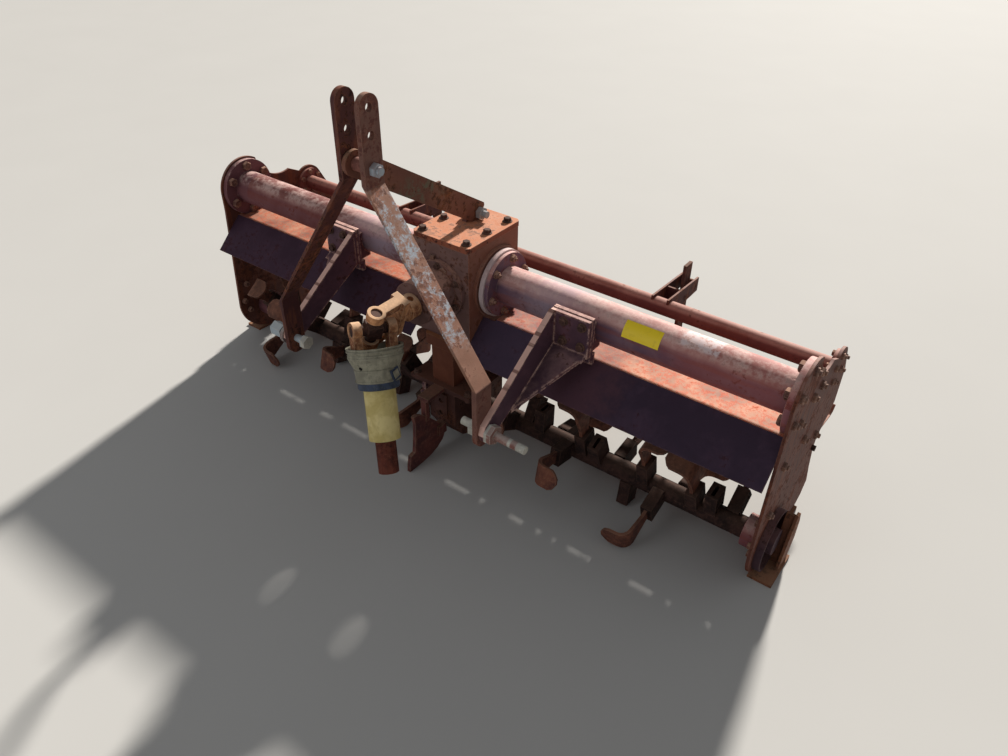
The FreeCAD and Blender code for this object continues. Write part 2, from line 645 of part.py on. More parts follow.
# Lower hitch: pad welded to the beam, bolted flange, arm plate and sloped gusset.
for word, side in SIDES:
    weld = new_body("beam_pad_" + word)
    x0 = side_start(side, D.foot_x + 4, 116)
    block(weld, x0, -92, -78, 116, 12, 132)
    near = D.foot_x + D.arm_t + 8
    for gap in (0.0, 74.0):
        block(weld, side_start(side, near + gap, 10), -84, -60, 10, 60, 84)
    block(weld, x0, D.hood_bend_y - 25, D.hood_bend_z, 116, 12, 34)
    cylinder(weld, "x", x0 - 1, 0, 0, D.beam_r + D.run_gap, 118, taken=True)

    arm = new_body("hitch_arm_" + word)
    block(arm, x0, -106, -56, 116, 14, 108)
    prism_x(arm, [
        (-106, 52),
        (D.mast_y - 16, D.pin_z + 24),
        (D.mast_y - 24, D.pin_z),
        (D.mast_y - 16, D.pin_z - 22),
        (D.mast_y + 10, D.pin_z - 28),
        (-106, -56),
    ][::-1], side_start(side, D.foot_x + 0.0, D.arm_t), D.arm_t)
    floor = [
        (-106, -46),
        (-106, -56),
        (D.mast_y + 60, D.pin_z - 14),
        (D.mast_y + 60, D.pin_z - 4),
    ]
    web_x = D.foot_x + D.arm_t
    prism_x(arm, floor, side_start(side, web_x, 100), 100)
    corner = [
        ((web_x + 100) * side, -106),
        ((web_x + 101) * side, -106),
        ((web_x + 101) * side, D.mast_y + 50),
        (web_x * side, D.mast_y + 50),
        (web_x * side, D.mast_y + 90),
    ]
    if side > 0:
        corner = list(reversed(corner))
    prism_z(arm, corner, D.pin_z - 30, 140, taken=True)
    cylinder(arm, "x", side_start(side, D.foot_x - 1, D.arm_t + 2), D.mast_y, D.pin_z, D.pin_r,
             D.arm_t + 2, taken=True)

# Lower hitch pins.
pin = new_body("lower_pin_right")
arm_out = D.foot_x + D.arm_t
cylinder(pin, "x", D.foot_x - D.bar_t - 52, D.mast_y, D.pin_z, D.pin_r, D.bar_t + D.arm_t + 162)
hexagon(pin, "x", D.foot_x - D.bar_t - 20, D.mast_y, D.pin_z, 44, 20)
hexagon(pin, "x", arm_out, D.mast_y, D.pin_z, 46, 20)
pin = new_body("lower_pin_left")
cylinder(pin, "x", -(arm_out + 62), D.mast_y, D.pin_z, D.pin_r, D.bar_t + D.arm_t + 110)
cylinder(pin, "x", -(arm_out + 10), D.mast_y, D.pin_z, 28, 10)
hexagon(pin, "x", -(arm_out + 62), D.mast_y, D.pin_z, 38, 40)
hexagon(pin, "x", -(D.foot_x - D.bar_t - 30), D.mast_y, D.pin_z, 34, 18)

# Bearing housings, their outer covers and guard rims, and the skids.
bearing_in = plate_in - D.bearing_w
for word, side in SIDES:
    bearing = new_body("bearing_" + word)
    cylinder(bearing, "x", side_start(side, bearing_in, D.bearing_w), 0, D.rotor_z,
             D.bearing_r, D.bearing_w)
    cylinder(bearing, "x", side_start(side, bearing_in - 1, D.bearing_w + 2), 0, D.rotor_z,
             D.stub_r + D.run_gap, D.bearing_w + 2, taken=True)

    guard = new_body("bearing_guard_" + word)
    cylinder(guard, "x", side_start(side, D.plate_out, 20), 0, D.rotor_z, 88, 20)
    cylinder(guard, "x", side_start(side, D.plate_out + 4, 17), 0, D.rotor_z, 82, 17, taken=True)
    cylinder(guard, "x", side_start(side, D.plate_out + 2, 26), 0, D.rotor_z, 36, 26)

    skid = new_body("skid_" + word)
    floor_z = -D.shift_z
    width = D.skid_w + D.plate_t
    block(skid, side_start(side, plate_in, width), -62, floor_z, width, 132, D.skid_t)
    runner = D.plate_t * 2
    block(skid, side_start(side, plate_in, runner), 60, floor_z, runner, heel_y - 54, D.skid_t)
    prism_x(skid, [
        (22, floor_z + D.skid_t),
        (30, floor_z + D.skid_t),
        (66, D.rotor_z + 58),
        (58, D.rotor_z + 58),
    ], side_start(side, D.plate_out + 20.3, D.skid_w - 34.3), D.skid_w - 34.3)
    prism_x(skid, [
        (-4, floor_z + D.skid_t + 8),
        (8, floor_z + D.skid_t),
        (60, floor_z + D.skid_t),
        (88, D.rotor_z - 40),
        (90, D.rotor_z + 20),
        (74, D.rotor_z + 62),
        (56, D.rotor_z + 64),
        (34, D.rotor_z + 20),
    ], side_start(side, D.plate_out + D.skid_w - 14, 8), 8)

# Brackets on the rear tube that guide the straps of the rear shield.
for word, side in SIDES:
    bracket = new_body("shield_bracket_" + word)
    for near in (D.strap_x - 27, D.strap_x + 21):
        prism_x(bracket, [
            (D.rear_y - 16, -38),
            (D.rear_y - 16, D.rear_z + 20),
            (D.rear_y + 10, D.rear_z - 20),
            (D.rear_y + 60, D.rear_z - 24),
            (D.rear_y + 182, D.rear_z - 22),
            (D.rear_y + 182, -50),
        ], side_start(side, near, 6), 6)
    cylinder(bracket, "x", side_start(side, D.strap_x - 30, 60), D.rear_y, D.rear_z,
             D.rear_r + D.run_gap, 60, taken=True)
    block(bracket, side_start(side, D.strap_x - 27, 54), D.rear_y + 72, D.rear_z - 20, 54, 6, 44)
    block(bracket, side_start(side, D.strap_x - 27, 54), D.rear_y + 176, D.rear_z - 20, 54, 6, 30)

rod = new_body("shield_hinge_rod")
cylinder(rod, "x", -D.plate_out - 10, D.hinge_y, D.hinge_z, D.hinge_r, D.plate_out * 2 + 20)

# Rear shield, hinged on the rod, with the lugs that carry its straps.
slope = math.radians(D.shield_drop.value)
cs, sn = math.cos(slope), math.sin(slope)


def on_shield(along, up):
    return (D.hinge_y + (cs * along + sn * up), D.hinge_z + (cs * up - sn * along))


shield = new_body("rear_shield")
full = D.shield_len.value
prism_x(shield, [
    on_shield(14, -13), on_shield(full - 34, -13), on_shield(full - 12, -6),
    on_shield(full, 12), on_shield(full - 4, 13), on_shield(full - 15, -3),
    on_shield(full - 35, -9), on_shield(14, -9),
], -(plate_in - 6), plate_in * 2 - 12)
KNUCKLES = [plate_in * share for share in (-0.92, -0.46, 0.0, 0.46, 0.92)]
for x in KNUCKLES:
    cylinder(shield, "x", x - 30, D.hinge_y, D.hinge_z, D.hinge_r + 6, 60)
    prism_x(shield, [
        on_shield(2, -13), on_shield(30, -13), on_shield(30, -8), on_shield(12, -2),
    ], x - 30, 60)
for x in KNUCKLES:
    cylinder(shield, "x", x - 31, D.hinge_y, D.hinge_z, D.hinge_r + D.run_gap, 62, taken=True)
foot_z = D.hinge_z - (D.strap_y - D.hinge_y) * (sn / cs) - 14
for word, side in SIDES:
    for near in (D.strap_x - 22, D.strap_x + 14):
        x0 = side_start(side, near, 8)
        block(shield, x0, D.strap_y - 14, foot_z, 8, 28, D.hinge_z + 10 - foot_z)
        cylinder(shield, "x", x0 - 1, D.strap_y, D.hinge_z, D.strap_pin_r + D.run_gap, 10, taken=True)

hooks = new_body("hinge_brackets")
for x in [plate_in * share for share in (-0.655, -0.256, 0.256, 0.655)]:
    prism_x(hooks, [
        (D.hinge_y - 15, D.hinge_z + 18),
        (D.hinge_y - 15, D.hinge_z - 8),
        (D.hinge_y + 4, D.hinge_z - 13),
        (D.hinge_y + 13, D.hinge_z),
        (D.hinge_y + 4, D.hinge_z + 13),
        (D.hinge_y - 8, D.hinge_z + 18),
    ], x - 5, 10)
    cylinder(hooks, "x", x - 6, D.hinge_y, D.hinge_z, D.hinge_r + 0.1, 12, taken=True)

# Straps that hold the rear shield.
strap_len = (-10 - D.hinge_z).value
for word, side in SIDES:
    strap = new_body("shield_strap_" + word)
    x0 = side_start(side, D.strap_x - D.strap_t / 2, D.strap_t)
    low = D.hinge_z - 18
    block(strap, x0, D.strap_y - D.strap_w / 2, low, D.strap_t, D.strap_w, -low)
    cylinder(strap, "x", side_start(side, D.strap_x - 30, 60), D.strap_y, D.hinge_z, D.strap_pin_r, 60)

# Rotor: one shaft through the lower case, holders along it, and the tines.
rotor = new_body("rotor_shaft")
cylinder(rotor, "x", -D.plate_out + 10, 0, D.rotor_z, D.stub_r, D.plate_out * 2 - 20)
for word, side in SIDES:
    length = bearing_in - 4 - D.case_x - 4
    cylinder(rotor, "x", side_start(side, D.case_x + 4, length), 0, D.rotor_z, D.rotor_r, length)

holder = doc.addObject("PartDesign::Body", "holder_master")
block(holder, -17, -27, D.rotor_r - 10, 34, 54, 74)
block(holder, -4.8, -19.3, D.rotor_r + 4, 9.6, 38.6, 80, taken=True)
cylinder(holder, "x", -18, 0, 0, D.rotor_r + 0.2, 36, taken=True)

tine = doc.addObject("PartDesign::Body", "tine_master")
TIP_R = 206.0
BEND = 34.0
block(tine, -4.5, -19, 40, 9, 38, TIP_R - BEND - 40 - 20)
prism_x(tine, [
    (-19, TIP_R - BEND - 60), (-30, TIP_R - BEND - 20), (-36, TIP_R - BEND),
    (30, TIP_R - BEND), (19, TIP_R - BEND - 60),
][::-1], -4.5, 9)
path = []
for k in range(5):
    a = math.radians(90.0 * k / 4.0)
    path.append((4.5 - 9 + BEND - (BEND) * math.cos(a), TIP_R - BEND + (BEND) * math.sin(a)))
outer = [(x, z) for x, z in path]
inner = []
for k in range(5):
    a = math.radians(90.0 * k / 4.0)
    inner.append((-4.5 + BEND - (BEND - 9) * math.cos(a), TIP_R - BEND + (BEND - 9) * math.sin(a)))
curve = outer + [(76.0, TIP_R)] + [(76.0, TIP_R - 7)] + list(reversed(inner))
prism_y(tine, list(reversed(curve)), -36, 66)
prism_z(tine, [
    (44, -40), (90, -40), (90, 10), (80, -2), (66, -28),
], TIP_R - 20, 40, taken=True)
prism_z(tine, [
    (50, 34), (66, 22), (80, 2), (90, 10), (90, 40),
], TIP_R - 20, 40, taken=True)

# Columns: side, slot number along the shaft, direction round it in degrees, tine hand (0: empty).
HOLDERS = (
    ("right", 0, 18, 1), ("right", 1, 150, 1), ("right", 2, 62, -1), ("right", 3, 90, 0),
    ("right", 4, -12, 1), ("right", 5, 168, 1), ("right", 6, 104, -1), ("right", 7, 112, 0),
    ("right", 8, 8, 1), ("right", 9, 262, 0), ("right", 10, 104, 1), ("right", 11, 197, -1),
    ("right", 12, -8, 1), ("right", 13, 112, -1), ("right", 14, 100, 0), ("right", 15, 36, -1),
    ("left", 0, 194, 1), ("left", 1, 30, 1), ("left", 2, 118, -1), ("left", 3, 250, 0),
    ("left", 4, -6, 1), ("left", 5, 170, 0), ("left", 7, 163, -1), ("left", 8, 76, 1),
    ("left", 9, 255, 0), ("left", 10, 12, -1), ("left", 11, 140, 1), ("left", 12, 44, 1),
    ("left", 13, 196, -1), ("left", 14, 92, 1), ("left", 15, 128, -1),
)
pitch = (bearing_in - D.slot_end - D.slot_x).value / 15.0
doc.recompute()
holder_shape = holder.Shape.copy()
tine_shape = tine.Shape.copy()
for word, side in SIDES:
    held = []
    fitted = []
    for bank, slot, angle, hand in HOLDERS:
        if bank != word:
            continue
        x = D.slot_x.value + pitch * slot
        turn = Rotation(V(1, 0, 0), angle - 90.0)
        spot = V(side * x, D.shift_y.value, D.rotor_z.value + D.shift_z.value)
        copy = holder_shape.copy()
        copy.Placement = Placement(spot, turn)
        held.append(copy)
        if hand:
            copy = tine_shape.copy()
            flip = Rotation(V(0, 0, 1), 0 if hand * side > 0 else 180)
            copy.Placement = Placement(spot, turn.multiply(flip))
            fitted.append(copy)
    group = doc.addObject("Part::Feature", "tine_holders_" + word)
    group.Label = group.Name
    group.Shape = Part.makeCompound(held)
    nodes[group.Name] = group
    group = doc.addObject("Part::Feature", "tines_" + word)
    group.Label = group.Name
    group.Shape = Part.makeCompound(fitted)
    nodes[group.Name] = group

# Hanging half of the drive shaft: cross, fork, guard cone, ring, guard tube and profile tube.
ear_out = D.ear_in + D.ear_t
cross = joint_body("joint_cross", D.joint_yaw, size(0))
for along in ("x", "z"):
    reach = ear_out - 3
    spot = (-reach, 0, 0) if along == "x" else (0, 0, -reach)
    cylinder(cross, along, *spot, D.cup_r, reach * 2)
block(cross, -20, -20, -20, 40, 40, 40)

fork = joint_body("shaft_yoke", D.joint_yaw, -D.joint_swing)
for x0 in (D.ear_in, -ear_out):
    block(fork, x0, -15, D.root_z - 4, D.ear_t, 30, 4 - D.root_z)
    cylinder(fork, "x", x0, 0, 0, D.ear_r, D.ear_t)
block(fork, -ear_out, -15, D.root_z - 10, ear_out * 2, 30, 10)
cylinder(fork, "z", 0, 0, D.tube_z, D.hub_r, D.root_z - 8 - D.tube_z)
cylinder(fork, "x", -ear_out - 1, 0, 0, D.cup_r + D.cup_fit, ear_out * 2 + 2, taken=True)

collar = joint_body("guard_cone", D.joint_yaw, -D.joint_swing)
revolve(collar, [
    (D.rim_r - 5, D.rim_z),
    (D.rim_r, D.rim_z),
    (D.rim_r, D.rim_z - 12),
    (D.rim_r - 2, D.rim_z - 15),
    (D.rim_r, D.rim_z - 18),
    (D.rim_r - 2, D.rim_z - 30),
    (D.rim_r - 13.4, D.neck_z),
    (D.rim_r - 15, D.collar_z),
    (D.hub_r + D.run_gap, D.collar_z),
    (D.hub_r + D.run_gap, D.neck_z - 6),
    (D.rim_r - 18.4, D.neck_z),
    (D.rim_r - 7, D.rim_z - 31),
])

ring = joint_body("guard_ring", D.joint_yaw, -D.joint_swing)
revolve(ring, [
    (D.hub_r + D.run_gap, D.collar_z), (D.hub_r + D.run_gap, D.tube_z),
    (D.rim_r - 20, D.tube_z), (D.rim_r - 18, D.tube_z + 3), (D.rim_r - 18, D.collar_z),
])

tube = joint_body("guard_tube", D.joint_yaw, -D.joint_swing)
revolve(tube, [
    (D.guard_r - 4, D.tube_z), (D.guard_r - 4, D.tube_end_z),
    (D.guard_r, D.tube_end_z), (D.guard_r, D.tube_z),
])

inner_tube = joint_body("profile_tube", D.joint_yaw, -D.joint_swing)
prism_z(inner_tube, [
    (D.shaft_r * math.cos(math.radians(a)), D.shaft_r * math.sin(math.radians(a)))
    for a in range(0, 360, 30)
], D.shaft_end_z, D.tube_z - D.shaft_end_z)
cylinder(inner_tube, "z", 0, 0, D.shaft_end_z - 1, D.shaft_r - 6, 61, taken=True)

doc.recompute()

bad = []
for name, obj in nodes.items():
    states = [s for s in obj.State if s in ("Invalid", "Error")]
    if states or not obj.Shape.isValid() or obj.Shape.Volume < 1.0:
        bad.append(name)
for obj in doc.Objects:
    if "Invalid" in obj.State or "Error" in obj.State:
        bad.append(obj.Name)
if bad:
    raise RuntimeError("broken pieces: " + ", ".join(sorted(set(bad))))

os.makedirs("parts", exist_ok=True)
for name, obj in nodes.items():
    obj.Shape.exportStep("parts/%s.step" % name)
print("pieces", len(nodes))
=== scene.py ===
import math
import random
from collections import namedtuple

import bmesh
import bpy
from mathutils import Matrix, Vector


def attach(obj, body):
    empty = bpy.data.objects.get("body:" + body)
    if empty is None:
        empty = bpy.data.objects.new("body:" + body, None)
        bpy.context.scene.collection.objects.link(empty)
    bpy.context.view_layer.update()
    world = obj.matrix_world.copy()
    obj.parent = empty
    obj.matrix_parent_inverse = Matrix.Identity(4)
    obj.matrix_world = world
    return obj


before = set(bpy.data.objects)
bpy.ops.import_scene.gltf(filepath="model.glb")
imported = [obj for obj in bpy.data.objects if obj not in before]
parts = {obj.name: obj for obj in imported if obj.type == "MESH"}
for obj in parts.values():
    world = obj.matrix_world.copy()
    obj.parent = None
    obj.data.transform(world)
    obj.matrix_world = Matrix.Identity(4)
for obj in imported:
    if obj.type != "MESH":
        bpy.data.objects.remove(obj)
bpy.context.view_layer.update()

random.seed(7)

X, Y, Z = 0, 1, 2

# Sizes and places are in mm from the axis of the main beam, as in the part's source.
BEAM_AXIS = Vector((0.0, 8.55, 560.0))
BEAM_DISC, BEAM_CIRCLE = 961, 75            # inner face of an end disc and its bolt circle
REAR_DISC, REAR_CIRCLE = 967, 40
REAR_AXIS = (271, -72)
GEAR_DISC, GEAR_CIRCLE = 138, 76
PLATE_IN, PLATE_OUT = 977, 985              # the two faces of a side plate
PAD_FRONT = -106
COVER_TOP = 142
INPUT_FRONT, INPUT_Z, INPUT_CIRCLE = -135, -2, 72
CASE_FLANGE_TOP, CASE_FLANGE_UNDER = -325, -340
GEARBOX_FRONT, BAR_FRONT = -121, -152
SUNK = 0.5                                  # how far small pieces reach into what they sit on
BEAM_SKIN = 54.8                            # beam radius with the sticker on it


def at(x, y, z):
    """Place in the frame, in metres."""
    return (Vector((x, y, z)) + BEAM_AXIS) / 1000.0


# ---------------------------------------------------------------- shader maths
class Value:
    """A number or vector socket that can be used in plain arithmetic."""

    def __init__(self, look, socket):
        self.look = look
        self.socket = socket

    def _two(self, kind, a, b):
        return self.look.node("ShaderNodeMath", {"operation": kind}, {0: a, 1: b})

    def __add__(self, b):
        return self._two("ADD", self, b)

    def __radd__(self, b):
        return self._two("ADD", b, self)

    def __sub__(self, b):
        return self._two("SUBTRACT", self, b)

    def __rsub__(self, b):
        return self._two("SUBTRACT", b, self)

    def __mul__(self, b):
        return self._two("MULTIPLY", self, b)

    def __rmul__(self, b):
        return self._two("MULTIPLY", b, self)


class Nodes:
    """A node tree that is filled one node at a time."""

    def __init__(self, tree):
        self.tree = tree

    def node(self, kind, settings=None, inputs=None, out=0):
        node = self.tree.nodes.new(kind)
        for key, value in (settings or {}).items():
            setattr(node, key, value)
        for key, value in (inputs or {}).items():
            self.feed(node.inputs[key], value)
        return Value(self, node.outputs[out] if len(node.outputs) else None)

    def feed(self, socket, value):
        if isinstance(value, Value):
            self.tree.links.new(value.socket, socket)
        elif hasattr(socket.default_value, "__len__") and not hasattr(value, "__len__"):
            socket.default_value = [value] * len(socket.default_value)
        elif hasattr(value, "__len__") and len(socket.default_value) == 4 and len(value) == 3:
            socket.default_value = (*value, 1.0)
        else:
            socket.default_value = value


class Look(Nodes):
    """One material and the few ways of filling its node tree."""

    def __init__(self, name):
        self.material = bpy.data.materials.new(name)
        self.material.use_nodes = True
        super().__init__(self.material.node_tree)
        self.surface = self.tree.nodes["Principled BSDF"]
        self.place = self.node("ShaderNodeTexCoord", out="Object")

    def finish(self, **inputs):
        for key, value in inputs.items():
            self.feed(self.surface.inputs[key.replace("_", " ")], value)
        return self.material

    def noise(self, scale, detail=3.0, rough=0.55, warp=0.0, where=None):
        return self.node("ShaderNodeTexNoise", {"normalize": True}, {
            "Vector": where or self.place, "Scale": scale, "Detail": detail,
            "Roughness": rough, "Distortion": warp})

    def stretched(self, x, y, z):
        return self.node("ShaderNodeMapping", None, {"Vector": self.place, "Scale": (x, y, z)})

    def step(self, value, low, high):
        """0 below low, 1 above high, and soft between."""
        return self.node("ShaderNodeMapRange", {"interpolation_type": "SMOOTHSTEP"}, {
            "Value": value, "From Min": low, "From Max": high})

    def mix(self, share, a, b):
        return self.node("ShaderNodeMix", {"data_type": "RGBA"}, {0: share, 6: a, 7: b}, 2)

    def part_of(self, vector, axis):
        return self.node("ShaderNodeSeparateXYZ", None, {0: vector}, axis)

    def normal(self):
        return self.node("ShaderNodeNewGeometry", out="Normal")

    def up(self):
        return self.part_of(self.normal(), Z)

    def round_edge(self, radius):
        return self.node("ShaderNodeBevel", {"samples": 4}, {"Radius": radius})

    def edge(self, radius=0.004):
        """1 on the corners of the metal, 0 on its flats."""
        same = self.node("ShaderNodeVectorMath", {"operation": "DOT_PRODUCT"}, {
            0: self.round_edge(radius), 1: self.normal()}, "Value")
        return self.step(1.0 - same, 0.02, 0.16)

    def bump(self, height, strength, depth, rounding):
        return self.node("ShaderNodeBump", None, {
            "Height": height, "Strength": strength, "Distance": depth,
            "Normal": self.round_edge(rounding)})

    def between(self, axis, low, high, soft=1.5, ragged=0.0, both=False):
        """1 where the place along one axis lies between two values (mm)."""
        spot = self.part_of(self.place, axis) * 1000.0 - BEAM_AXIS[axis]
        if both:
            spot = self.node("ShaderNodeMath", {"operation": "ABSOLUTE"}, {0: spot})
        if ragged:
            spot = spot + (self.noise(22.0, 4.0, 0.7) - 0.5) * ragged
        past_low = self.step(spot, low - soft, low + soft)
        past_high = self.step(spot, high - soft, high + soft)
        return past_low * (1.0 - past_high)


def rgb(text):
    """Colour as written on a screen, from RRGGBB."""
    shares = [int(text[i:i + 2], 16) / 255.0 for i in (0, 2, 4)]
    return tuple(c / 12.92 if c <= 0.04045 else ((c + 0.055) / 1.055) ** 2.4 for c in shares)


# ---------------------------------------------------------------- finishes
# A tone laid over the stretch from low to high along an axis, on both sides of 0 if asked.
Zone = namedtuple("Zone", "axis low high tone share soft ragged both",
                  defaults=(1.5, 0.0, False))

GRIME = "33211f"
GROOVE = "5a2e26"


def zoned(look, colour, zones, mottle):
    """Tones laid over stretches, mottled with the coat below them."""
    for zone in zones:
        where = look.between(zone.axis, zone.low, zone.high, zone.soft, zone.ragged, zone.both)
        tone = look.mix(mottle, rgb(zone.tone), colour)
        colour = look.mix(where * zone.share, colour, tone)
    return colour


def flaked(look, colour, fine, tone, low, high):
    """Flakes of an older coat that are left between two heights."""
    spots = look.noise(26.0, 6.0, 0.85, 0.2, look.stretched(1.4, 1.0, 0.8))
    left = look.step(spots, 0.46, 0.58) * (1.0 - look.step(fine, 0.48, 0.60) * 0.85) * 0.85
    return look.mix(left * look.between(Z, low, high, 30.0, 60.0), colour, rgb(tone))


def primed(look, colour, fine, tone, x_span, z_span):
    """A worn patch of primer that covers only the top of the tube."""
    patch = look.between(X, *x_span, 4.0, 26.0) * look.between(Z, *z_span, 3.0, 10.0)
    return look.mix(patch * look.step(fine, 0.62, 0.50) * 0.85, colour, rgb(tone))


def flame_cut(look, colour, height, span, dust_and_highlight_tone):
    """Short grooves across the cut edges of plates that stand at a distance from the middle, with
    the up-facing cut edges paled as painted sunlight.
    """
    run = look.part_of(look.place, Z) - look.part_of(look.place, Y)
    along = look.node("ShaderNodeCombineXYZ", None, {0: run * 150.0})
    grooves = look.noise(1.0, 2.0, 0.5, 0.0, along)
    side = look.part_of(look.normal(), X)
    rim = (1.0 - look.step(side * side, 0.1, 0.4)) * look.between(X, *span, 1.0, both=True)
    # Cut edges that face up take the pale tone: painted sunlight on the edges.
    colour = look.mix(rim * look.step(look.up(), 0.0, 0.3) * 0.8, colour, rgb(dust_and_highlight_tone))
    colour = look.mix(rim * look.step(grooves, 0.53, 0.59) * 0.7, colour, rgb(GROOVE))
    return colour, height + grooves * rim * 3.0


def worn_paint(name, paint, faded_and_lit_tone, rust, rusting, dust, lit_and_faded_from=0.35, streak=0.0,
               grain=(60.0, 60.0, 5.0), contrast=0.9, top_rust=None, flakes=None, zones=(),
               primer=None, edges=0.6, edge_width=0.004, dust_and_lit_from=0.45, grime=0.25, cut=None):
    """Old paint in two tones, paler where it faces the sky (sun-bleached paint and painted sky
    light on the tops together), with rust that eats in from spots and edges, dust that lies on top
    and grime in the pores.

    Tones are RRGGBB. dust is (share, tone), grain the fineness of the streaks along x, y and z,
    flakes (tone, low, high), primer (tone, x span, z span), and cut the span of x, on both
    sides, where the edges of plates were cut by a flame. The dust tone also pales worn corners
    and the up-facing cut edges; with a high dust threshold and wide edges it is painted sunlight
    on tops and edges."""
    look = Look(name)
    big = look.noise(3.0, 2.0)
    mid = look.noise(13.0, 4.0, 0.6, 0.4)
    fine = look.noise(70.0, 4.0, 0.65)
    grit = look.noise(420.0, 2.0, 0.6)
    up = look.up()
    edge = look.edge(edge_width)
    paint, paint2 = paint
    rust, rust2 = rust
    dust, dust_and_highlight_tone = dust

    colour = look.mix(look.step(big * 0.5 + mid * 0.5, 0.40, 0.60), rgb(paint), rgb(paint2))
    # Faces that look up take a paler tone: partly sun-bleached paint, partly painted sky light on
    # the tops.
    lit_and_faded = look.step(up + (mid - 0.5) * 0.25, lit_and_faded_from, lit_and_faded_from + 0.4)
    colour = look.mix(lit_and_faded * 0.92, colour, rgb(faded_and_lit_tone))
    if streak:
        runs = look.noise(1.0, 3.0, 0.6, 0.0, look.stretched(*grain))
        colour = look.mix(look.step(runs, 0.48, 0.62) * streak, colour, rgb(rust))

    eaten = mid * 0.40 + fine * 0.35 + big * 0.25 + edge * (0.12 * edges)
    limit = 0.60 - 0.14 * rusting
    rusty = look.step(eaten, limit, limit + 0.05)
    brown = look.mix(look.step(fine * 0.6 + grit * 0.4, 0.42, 0.58), rgb(rust), rgb(rust2))
    if top_rust:
        flat = look.step(up, 0.78, 0.88)
        brown = look.mix(flat, brown, rgb(top_rust))
        specks = look.step(fine * 0.7 + grit * 0.3, 0.46, 0.57)
        colour = look.mix(flat * specks * 0.85, colour, rgb(top_rust))
    colour = look.mix(rusty * contrast, colour, brown)

    if flakes:
        colour = flaked(look, colour, fine, *flakes)
    colour = zoned(look, colour, zones, mid * 0.6)
    if primer:
        colour = primed(look, colour, fine, *primer)

    worn = look.step(fine, 0.4, 0.6)
    # Worn corners take the pale dust tone; with wide edges, as on the hitch arms, it is a painted
    # highlight along the sunlit edges.
    colour = look.mix(edge * edges * worn * 0.7, colour, rgb(dust_and_highlight_tone))
    loose = look.step(mid * 0.5 + fine * 0.5, 0.42, 0.60)
    # Dust lies on faces that look up; with a high threshold, as on the hood and hitch arms, the
    # pale tone is also painted sunlight on the tops.
    dust_and_lit_tops = look.step(up, dust_and_lit_from, dust_and_lit_from + 0.35) * loose * dust
    colour = look.mix(dust_and_lit_tops, colour, rgb(dust_and_highlight_tone))
    colour = look.mix(look.step(grit * 0.5 + fine * 0.5, 0.54, 0.66) * grime, colour, rgb(GRIME))
    height = rusty * 0.5 + fine * 0.35 + grit * 0.25
    if cut:
        colour, height = flame_cut(look, colour, height, cut, dust_and_highlight_tone)
    return look.finish(Base_Color=colour, Roughness=0.62 + rusty * 0.22 + fine * 0.12,
                       Specular_IOR_Level=0.2, Normal=look.bump(height, 0.5, 0.0014, 0.002))


def rust_steel(name, dark, light, pale, shine=0.0, dust=0.3, metal=0.0, zones=()):
    """Bare iron under rust, with pale dust in its pores and on its corners."""
    look = Look(name)
    mid = look.noise(18.0, 4.0, 0.6, 0.6)
    fine = look.noise(90.0, 4.0, 0.65)
    grit = look.noise(500.0, 2.0, 0.6)
    colour = look.mix(look.step(mid * 0.6 + fine * 0.4, 0.38, 0.62), rgb(dark), rgb(light))
    colour = zoned(look, colour, zones, mid * 0.5)
    colour = look.mix(look.step(fine * 0.5 + grit * 0.5, 0.54, 0.66) * 0.5, colour, rgb(pale))
    colour = look.mix(look.edge() * 0.55, colour, rgb(pale))
    colour = look.mix(look.step(look.up() + mid * 0.4, 0.5, 1.2) * dust, colour, rgb(pale))
    height = fine * 0.5 + grit * 0.4 + mid * 0.4
    return look.finish(Base_Color=colour, Metallic=metal,
                       Roughness=0.85 - shine * 0.5 + fine * 0.1 * (1.0 - shine),
                       Specular_IOR_Level=0.25 + shine * 0.5,
                       Normal=look.bump(height, 0.5, 0.0012, 0.002))


def aged_plastic(name, base, pale, dirt, soiled=0.55):
    """Moulded guard plastic with dirt that has run down it."""
    look = Look(name)
    mid = look.noise(20.0, 4.0, 0.6, 0.5)
    runs = look.noise(1.0, 4.0, 0.65, 0.0, look.stretched(90.0, 90.0, 8.0))
    fine = look.noise(160.0, 3.0, 0.6)
    colour = look.mix(look.step(mid, 0.35, 0.65), rgb(base), rgb(pale))
    dirty = look.step(runs * 0.6 + fine * 0.4, 0.50, 0.66)
    colour = look.mix(dirty * soiled, colour, rgb(dirt))
    colour = look.mix(look.edge(0.003) * 0.5, colour, rgb(pale))
    return look.finish(Base_Color=colour, Roughness=0.55 + fine * 0.2,
                       Normal=look.bump(fine + runs * 0.5, 0.25, 0.0008, 0.0015))


def sticker_vinyl(name, fresh, scuffed):
    """Smooth vinyl with light scuffs."""
    look = Look(name)
    scuff = look.noise(40.0, 4.0, 0.7)
    return look.finish(
        Base_Color=look.mix(look.step(scuff, 0.55, 0.75) * 0.5, rgb(fresh), rgb(scuffed)),
        Roughness=0.35 + scuff * 0.2,
        Normal=look.node("ShaderNodeBump", None, {
            "Height": scuff, "Strength": 0.1, "Distance": 0.0005}))


